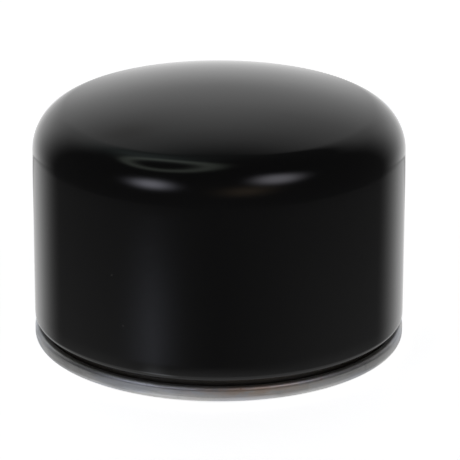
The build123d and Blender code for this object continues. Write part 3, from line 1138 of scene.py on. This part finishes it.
@dataclass
class ThreadedPlate(SubAssembly):
    """The tapping plate: dished thick steel with oil inlets and the threaded collar."""

    steel: float = 2.5 * MM
    rim: float = 36.0 * MM
    rim_floor: float = 5.8 * MM
    floor: float = 2.4 * MM
    dish: float = 29.4 * MM
    dish_bend: float = 2.5 * MM
    collar: float = 11.6 * MM
    collar_top: float = 10.6 * MM
    minor: float = 8.74 * MM
    major: float = 9.525 * MM
    pitch: float = 25.4 / 16 * MM
    lead: float = 0.8 * MM
    thread_rows: int = 20
    holes: int = 8
    hole: float = 2.6 * MM
    hole_circle: float = 20.0 * MM
    hole_ease: float = 0.25 * MM
    edge: float = 0.3 * MM
    segments: int = 288
    hole_segments: int = 48

    def build(self) -> None:
        """Build the plate and dress it."""
        piece = spin("threaded_plate", self._outline(), self.segments, self._thread)
        cut(piece, [self._punch(index) for index in range(self.holes)])
        self.place(piece, ZINC, "plate_steel", "tapping_plate", crease=35.0)

    def _outline(self) -> list[Point]:
        """Return the plate's section, with the bore's wall cut fine enough for the thread."""
        top = self.floor + self.steel
        rim_top = self.rim_floor + self.steel
        drop = self.rim_floor - self.floor
        lean = self.steel * tan(pi / 8) / 2
        under = self.dish + lean
        over = self.dish - lean
        corners = [
            (self.minor, self.floor), (under - drop, self.floor), (under, self.rim_floor),
            (self.rim, self.rim_floor), (self.rim, rim_top), (over, rim_top), (over - drop, top),
            (self.collar, top), (self.collar, self.collar_top), (self.minor, self.collar_top),
        ]
        inner, outer = self.dish_bend - self.steel / 2, self.dish_bend + self.steel / 2
        bends = [0.0, outer, inner, self.edge, self.edge, outer, inner, self.steel * 0.3,
                 self.edge, 0.0]
        outline = ring_outline(corners, bends, 8)
        rows = int((self.collar_top - self.floor) / self.pitch * self.thread_rows)
        step = (self.collar_top - self.floor) / rows
        bore = [(self.minor, self.collar_top - step * row) for row in range(1, rows)]
        return outline + bore

    def _thread(self, turn: float, radius: float, height: float) -> Point:
        """Cut the thread and its lead-in chamfers into the bore's wall.

        Args:
            turn: the point's angle round the axis.
            radius: its radius.
            height: its height.

        Returns:
            The point's new radius and height.
        """
        if radius > self.minor + 1e-6:
            return radius, height
        phase = ((height - self.floor) / self.pitch - turn / (2 * pi)) % 1.0
        off_root = abs(phase - 0.5) * self.pitch
        root, mouth = self.pitch / 16, self.pitch * 3 / 8
        share = min(1.0, max(0.0, (mouth - off_root) / (mouth - root)))
        groove = self.minor + (self.major - self.minor) * share
        end = min(height - self.floor, self.collar_top - height)
        return max(groove, self.minor + max(0.0, self.lead - end)), height

    def _punch(self, index: int) -> bpy.types.Object:
        """Return one hole's cutter, flared at both faces so that the hole's edges are eased.

        Args:
            index: which hole, counted round the plate.

        Returns:
            The cutter.
        """
        top = self.floor + self.steel
        wide, ease = self.hole + self.hole_ease, self.hole_ease
        outline = [
            (0.0, self.floor - ease), (wide + ease, self.floor - ease),
            (wide, self.floor), *arc_points((wide, self.floor + ease), ease, 1.5 * pi, pi, 5),
            *arc_points((wide, top - ease), ease, pi, 0.5 * pi, 5), (wide + ease, top + ease),
            (0.0, top + ease),
        ]
        cutter = spin(f"punch_{index}", outline, self.hole_segments)
        turn = 2 * pi * index / self.holes
        place = (self.hole_circle * cos(turn), self.hole_circle * sin(turn), 0.0)
        cutter.data.transform(Matrix.Translation(place))
        return cutter


@dataclass
class DrainbackValve(SubAssembly):
    """The rubber check valve: a hub that grips the collar and a skirt that lifts."""

    grip: float = 11.65 * MM
    hub: float = 14.0 * MM
    shelf: float = 16.0 * MM
    shelf_thickness: float = 0.8 * MM
    floor: float = 4.9 * MM
    top: float = 11.5 * MM
    rubber: float = 1.0 * MM
    root_height: float = 8.6 * MM
    lip: float = 24.3 * MM
    gap: float = 0.03 * MM
    longest_run: float = 0.5 * MM
    hub_segments: int = 192
    skirt_segments: int = 240

    def build(self) -> None:
        """Build the hub and the skirt and dress them."""
        shelf_floor = self.top - self.shelf_thickness
        corners = [(self.grip, self.floor), (self.hub, self.floor), (self.hub, shelf_floor),
                   (self.shelf, shelf_floor), (self.shelf, self.top), (self.grip, self.top)]
        bends = [0.3 * MM, 0.4 * MM, 0.5 * MM, 0.3 * MM, 0.3 * MM, 0.3 * MM]
        hub = spin("valve_hub", ring_outline(corners, bends), self.hub_segments)
        self.place(hub, VALVE_RUBBER, "valve_rubber", "anti_drainback_hub")
        lip_middle = self.floor + self.rubber / 2 + self.gap
        path = bent_path(
            [(self.hub - self.rubber / 4, self.root_height), (self.lip - 2 * self.rubber, lip_middle),
             (self.lip, lip_middle)], [self.rubber * 2],
        )
        outline = divided(sheet_outline(path, self.rubber), self.longest_run)
        skirt = spin("valve_skirt", outline, self.skirt_segments, self._lip_bead)
        self.place(skirt, VALVE_RUBBER, "valve_rubber", "anti_drainback_lip", body=None)
        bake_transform(skirt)

    def _lip_bead(self, turn: float, radius: float, height: float) -> Point:
        """Thin the skirt's upper face, most halfway out.

        Args:
            turn: the point's angle round the axis.
            radius: its radius.
            height: its height.

        Returns:
            The point's new radius and height.
        """
        span = self.lip - self.hub
        share = (radius - self.hub) / span
        thin = 0.1 * MM * sin(pi * min(1.0, max(0.0, share)))
        middle = self.root_height - (self.root_height - self.floor) * share
        return radius, height - thin if height > middle else height


@dataclass
class Element(SubAssembly):
    """The pleated element with its caps, potting, tube and clip, and the seam's compound."""

    def build(self) -> None:
        """Dress the element's pieces."""
        self.dress("lower_end_cap", CAP_TIN)
        self.dress("upper_end_cap", CAP_TIN)
        self.dress("lower_potting", PLASTISOL)
        self.dress("upper_potting", PLASTISOL)
        self.dress("filter_media", PAPER)
        self.dress("media_seam_clip", CLIP_TIN)
        self.dress("center_tube", TUBE_TIN)
        self.dress("seam_sealant", COMPOUND)


@dataclass
class BypassValve(SubAssembly):
    """The bypass valve: pressed housing and cage, sprung poppet with its rubber face."""

    cage_floor: float = 31.5 * MM
    seat: float = 41.25 * MM
    steel: float = 0.5 * MM
    poppet: float = 9.2 * MM
    poppet_thickness: float = 1.2 * MM
    seal: float = 0.8 * MM
    seal_inner: float = 6.6 * MM
    boss: float = 4.4 * MM
    boss_depth: float = 1.0 * MM
    stem: float = 2.0 * MM
    stem_tail: float = 1.0 * MM
    wire: float = 0.8 * MM
    coil: float = 5.6 * MM
    turns: float = 4.5
    fit: float = 0.03 * MM
    ease: float = 0.2 * MM
    segments: int = 160

    def build(self) -> None:
        """Build the moving pieces and the spring, and dress the rest."""
        self.dress("bypass_housing", BYPASS_TIN)
        self.dress("bypass_cage", BYPASS_TIN)
        disc_top = self.seat - self.seal
        disc_floor = disc_top - self.poppet_thickness
        boss_floor = disc_floor - self.boss_depth
        tail = self.cage_floor - self.stem_tail
        ease = self.ease
        corners = [(0.0, disc_top), (self.poppet, disc_top), (self.poppet, disc_floor),
                   (self.boss, disc_floor), (self.boss, boss_floor), (self.stem, boss_floor),
                   (self.stem, tail), (0.0, tail)]
        bends = [0.0, ease, ease, ease, ease, ease, 1.5 * ease, 0.0]
        poppet = spin("nylon_poppet", ring_outline(corners, bends), self.segments)
        self.place(poppet, NYLON, "poppet_nylon", "bypass_poppet", body=Body.BYPASS)
        corners = [(self.seal_inner, disc_top), (self.poppet, disc_top), (self.poppet, self.seat),
                   (self.seal_inner, self.seat)]
        seal = spin("poppet_seal", ring_outline(corners, [ease / 2] * 4), self.segments)
        self.place(seal, VALVE_RUBBER, "seal_rubber", "bypass_seal", body=Body.BYPASS)
        floor = self.cage_floor + self.steel + self.fit
        route = coil_route(self.coil, self.wire, floor, disc_floor - self.fit, self.turns)
        spring = wire_piece("bypass_coil", route, self.wire)
        self.place(spring, WIRE, "spring_steel", "bypass_spring", body=None)
        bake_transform(spring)


@dataclass
class ElementSpring(SubAssembly):
    """The coil that holds the element down, with closed end turns."""

    coil: float = 14.6 * MM
    wire: float = 1.4 * MM
    floor: float = 45.03 * MM
    top: float = 52.836 * MM
    turns: float = 3.0

    def build(self) -> None:
        """Build the spring and dress it."""
        route = coil_route(self.coil, self.wire, self.floor, self.top, self.turns)
        spring = wire_piece("element_coil", route, self.wire)
        self.place(spring, WIRE, "spring_steel", "element_spring")


# ---------------------------------------------------------------- studio
@dataclass(frozen=True)
class Glow:
    """A soft patch of light in the studio, by the direction it comes from.

    The half width and half height, in degrees, are where the light falls to a half.
    """

    azimuth: float
    elevation: float
    half_width: float
    half_height: float
    strength: float
    tint: tuple[float, float, float] = (1.0, 1.0, 1.0)
    edge: float = 2.0


WARM = (1.35, 1.0, 0.66)
COOL = (0.95, 0.95, 1.10)


@dataclass
class Studio:
    """A pale floor, a white sweep behind, dim walls, two soft boxes and a ring lamp."""

    floor_size: float = 6.0
    backdrop_radius: float = 2.9
    window: Point = (66.0, 27.0)
    table_edge: float = -0.356
    table_light: float = 0.8
    walls: float = 0.047
    side_glow: float = 0.35
    bench: float = 0.6
    glows: tuple[Glow, ...] = (
        Glow(-134.5, 31.5, 11.2, 8.8, 2.35, COOL, 2.3),
        Glow(134.5, 47.2, 15.0, 9.8, 1.9, (0.98, 0.96, 1.07), 2.6),
        Glow(160.5, 28.5, 13.7, 8.4, 0.15, WARM),
        Glow(165.0, 20.0, 12.0, 7.2, 0.09, WARM),
        Glow(-12.0, 35.5, 3.0, 3.0, -0.09, (0.95, 1.0, 1.05)),
        Glow(-30.0, 59.0, 17.6, 12.0, 0.18, (0.88, 1.1, 1.07)),
        Glow(-138.0, -22.0, 12.0, 1.1, 0.28, (0.9, 0.95, 1.15)),
        Glow(-139.0, -37.0, 10.0, 10.0, 1.0, (0.95, 0.98, 1.06), 4.0),
    )
    ring_centre: Point = (-0.326, 0.094)
    ring_radius: float = 0.28
    ring_width: float = 0.065
    ring_strength: float = 0.42
    ring_tint: tuple[float, float, float] = (0.97, 1.1, 0.95)

    def build(self) -> None:
        """Build the floor, the backdrop and the light."""
        half = self.floor_size / 2
        corners = [(-half, -half, 0.0), (half, -half, 0.0), (half, half, 0.0), (-half, half, 0.0)]
        floor = mesh_object("pale_floor", corners, [(0, 1, 2, 3)])
        floor.data.materials.append(PaleSweep("pale_floor_paper").material())
        floor.visible_glossy = False
        outline = arc_points((0.0, 0.0), self.backdrop_radius, -0.02, pi / 2 - 0.01, 24)
        outline += arc_points((0.0, 0.0), self.backdrop_radius * 1.01, pi / 2 - 0.01, -0.02, 24)
        backdrop = spin("pale_backdrop", outline, 64)
        backdrop.data.materials.append(PaleSweep("backdrop_paper", glow=0.97).material())
        backdrop.visible_glossy = False
        backdrop.visible_diffuse = False
        backdrop.visible_shadow = False
        backdrop.visible_transmission = False
        self._surround()
        view = bpy.context.scene.view_settings
        view.view_transform = "Standard"
        view.look = "None"

    def _surround(self) -> None:
        """Write the world: what lies in each direction round the filter."""
        world = bpy.data.worlds.new("studio")
        bpy.context.scene.world = world
        world.use_nodes = True
        shade = Shade(world.node_tree)
        place = shade.node("ShaderNodeTexCoord")
        apart = shade.node("ShaderNodeSeparateXYZ", {}, {0: shade.out(place, "Generated")})
        x, y, z = (shade.field(apart, axis) for axis in "XYZ")
        azimuth = x.math("ARCTAN2", y) * (180 / pi)
        elevation = z.math("ARCSINE") * (180 / pi)
        sides = bell(azimuth.math("ABSOLUTE") - 101.0, 46.8)
        low = bell((elevation + 29.9).math("MAXIMUM", 0.0), 6.3)
        plain = self._sweep(shade, azimuth, elevation, z / y.math("MAXIMUM", 0.05))
        plain = plain + sides * low * self.side_glow + self.walls
        plain = plain.math("MAXIMUM", elevation.steps(-21.0, -31.0, 0.0, self.bench))
        patches = [(self._patch(azimuth, elevation, glow), glow.tint) for glow in self.glows]
        patches.append((self._ring(x, y, z), self.ring_tint))
        channels = []
        for channel in range(3):
            light = plain
            for patch, tint in patches:
                light = light + patch * tint[channel]
            channels.append(light)
        colour = shade.node("ShaderNodeCombineColor", {}, dict(enumerate(channels)))
        shader = shade.node("ShaderNodeBackground", {}, {"Color": shade.out(colour)})
        shade.node("ShaderNodeOutputWorld", {}, {"Surface": shade.out(shader)})

    def _sweep(self, shade: Shade, azimuth: Field, elevation: Field, slope: Field) -> Field:
        """Return the white sweep and the table before it, dimming upwards.

        Args:
            shade: the world's node tree.
            azimuth: degrees from +Y, towards +X.
            elevation: degrees above the floor.
            slope: the direction's rise over its run towards +Y.

        Returns:
            The sweep's light.
        """
        low, high = -20.0, 50.0
        levels = ((-20.0, 1.12), (-12.0, 1.12), (0.0, 0.99), (10.0, 0.88), (20.0, 0.65),
                  (30.0, 0.41), (38.0, 0.30), (43.0, 0.19), (49.0, 0.0))
        stops = [((angle - low) / (high - low), (level,) * 3) for angle, level in levels]
        ramp = shade.node("ShaderNodeValToRGB", {"stops": stops}, {0: (elevation - low) / (high - low)})
        middle = bell(azimuth, 8.0) * elevation.steps(16.0, 34.0, -0.12, 0.36) + 1.0
        back = shade.field(ramp) * middle
        table = slope.steps(self.table_edge + 0.004, self.table_edge - 0.004)
        line = bell(slope - self.table_edge, 0.006) * -0.5 + 1.0
        inside = azimuth.math("ABSOLUTE").steps(*self.window)
        return (back + (self.table_light - back) * table) * line * inside

    @staticmethod
    def _patch(azimuth: Field, elevation: Field, glow: Glow) -> Field:
        """Return one glow's light.

        Args:
            azimuth: degrees from +Y, towards +X.
            elevation: degrees above the floor.
            glow: the patch of light.

        Returns:
            Its light.
        """
        turned = (azimuth - glow.azimuth + 540.0).math("FLOORED_MODULO", 360.0) - 180.0
        across = turned / glow.half_width
        up = (elevation - glow.elevation) / glow.half_height
        return bell((across * across + up * up) ** 0.5, 1.0, glow.edge) * glow.strength

    def _ring(self, x: Field, y: Field, z: Field) -> Field:
        """Return the ring lamp overhead.

        Args:
            x: the direction's x.
            y: its y.
            z: its z.

        Returns:
            The ring's light.
        """
        above = z.math("MAXIMUM", 0.05)
        across = x / above - self.ring_centre[0]
        deep = y / above - self.ring_centre[1]
        off = (across * across + deep * deep) ** 0.5 - self.ring_radius
        return bell(off, self.ring_width) * z.steps(0.3, 0.4) * self.ring_strength


def bell(value: Field, half_width: float, edge: float = 2.0) -> Field:
    """Return a soft hump: 1 at 0, a half at the half width.

    Args:
        value: how far from the middle.
        half_width: the distance where the hump falls to a half.
        edge: higher for a flatter top and a steeper side.

    Returns:
        The hump.
    """
    return ((value / half_width).math("ABSOLUTE") ** edge * -0.693).math("EXPONENT")


@dataclass
class LongLensCamera:
    """A long lens, a little above the filter."""

    elevation: float = 20.17
    distance: float = 700.3 * MM
    target_height: float = 23.96 * MM
    lens: float = 266.24
    shift: Point = (0.0240, -0.0052)
    roll: float = 0.001
    sensor: float = 36.0

    def build(self) -> None:
        """Place the camera and make it the scene's."""
        data = bpy.data.cameras.new("camera")
        data.lens = self.lens
        data.sensor_width = self.sensor
        data.shift_x, data.shift_y = self.shift
        data.clip_start = 0.01
        data.clip_end = 50.0
        camera = bpy.data.objects.new("camera", data)
        tilt = radians(self.elevation)
        target = Vector((0.0, 0.0, self.target_height))
        camera.location = target + Vector((0.0, -cos(tilt), sin(tilt))) * self.distance
        aim = (target - camera.location).to_track_quat("-Z", "Y").to_matrix()
        camera.rotation_euler = (aim @ Matrix.Rotation(self.roll, 3, "Z")).to_euler()
        bpy.context.scene.collection.objects.link(camera)
        bpy.context.scene.camera = camera


def main() -> None:
    """Build every sub-assembly in order, then the studio and the camera."""
    logging.basicConfig(level=logging.INFO, format="%(name)s %(message)s")
    assemblies = (
        PaintedCan(), RolledLid(), MouldedGasket(), ThreadedPlate(), DrainbackValve(),
        Element(), BypassValve(), ElementSpring(), Studio(), LongLensCamera(),
    )
    for assembly in assemblies:
        assembly.build()
        log.info("%s built", type(assembly).__name__)


if __name__ == "__main__":
    main()
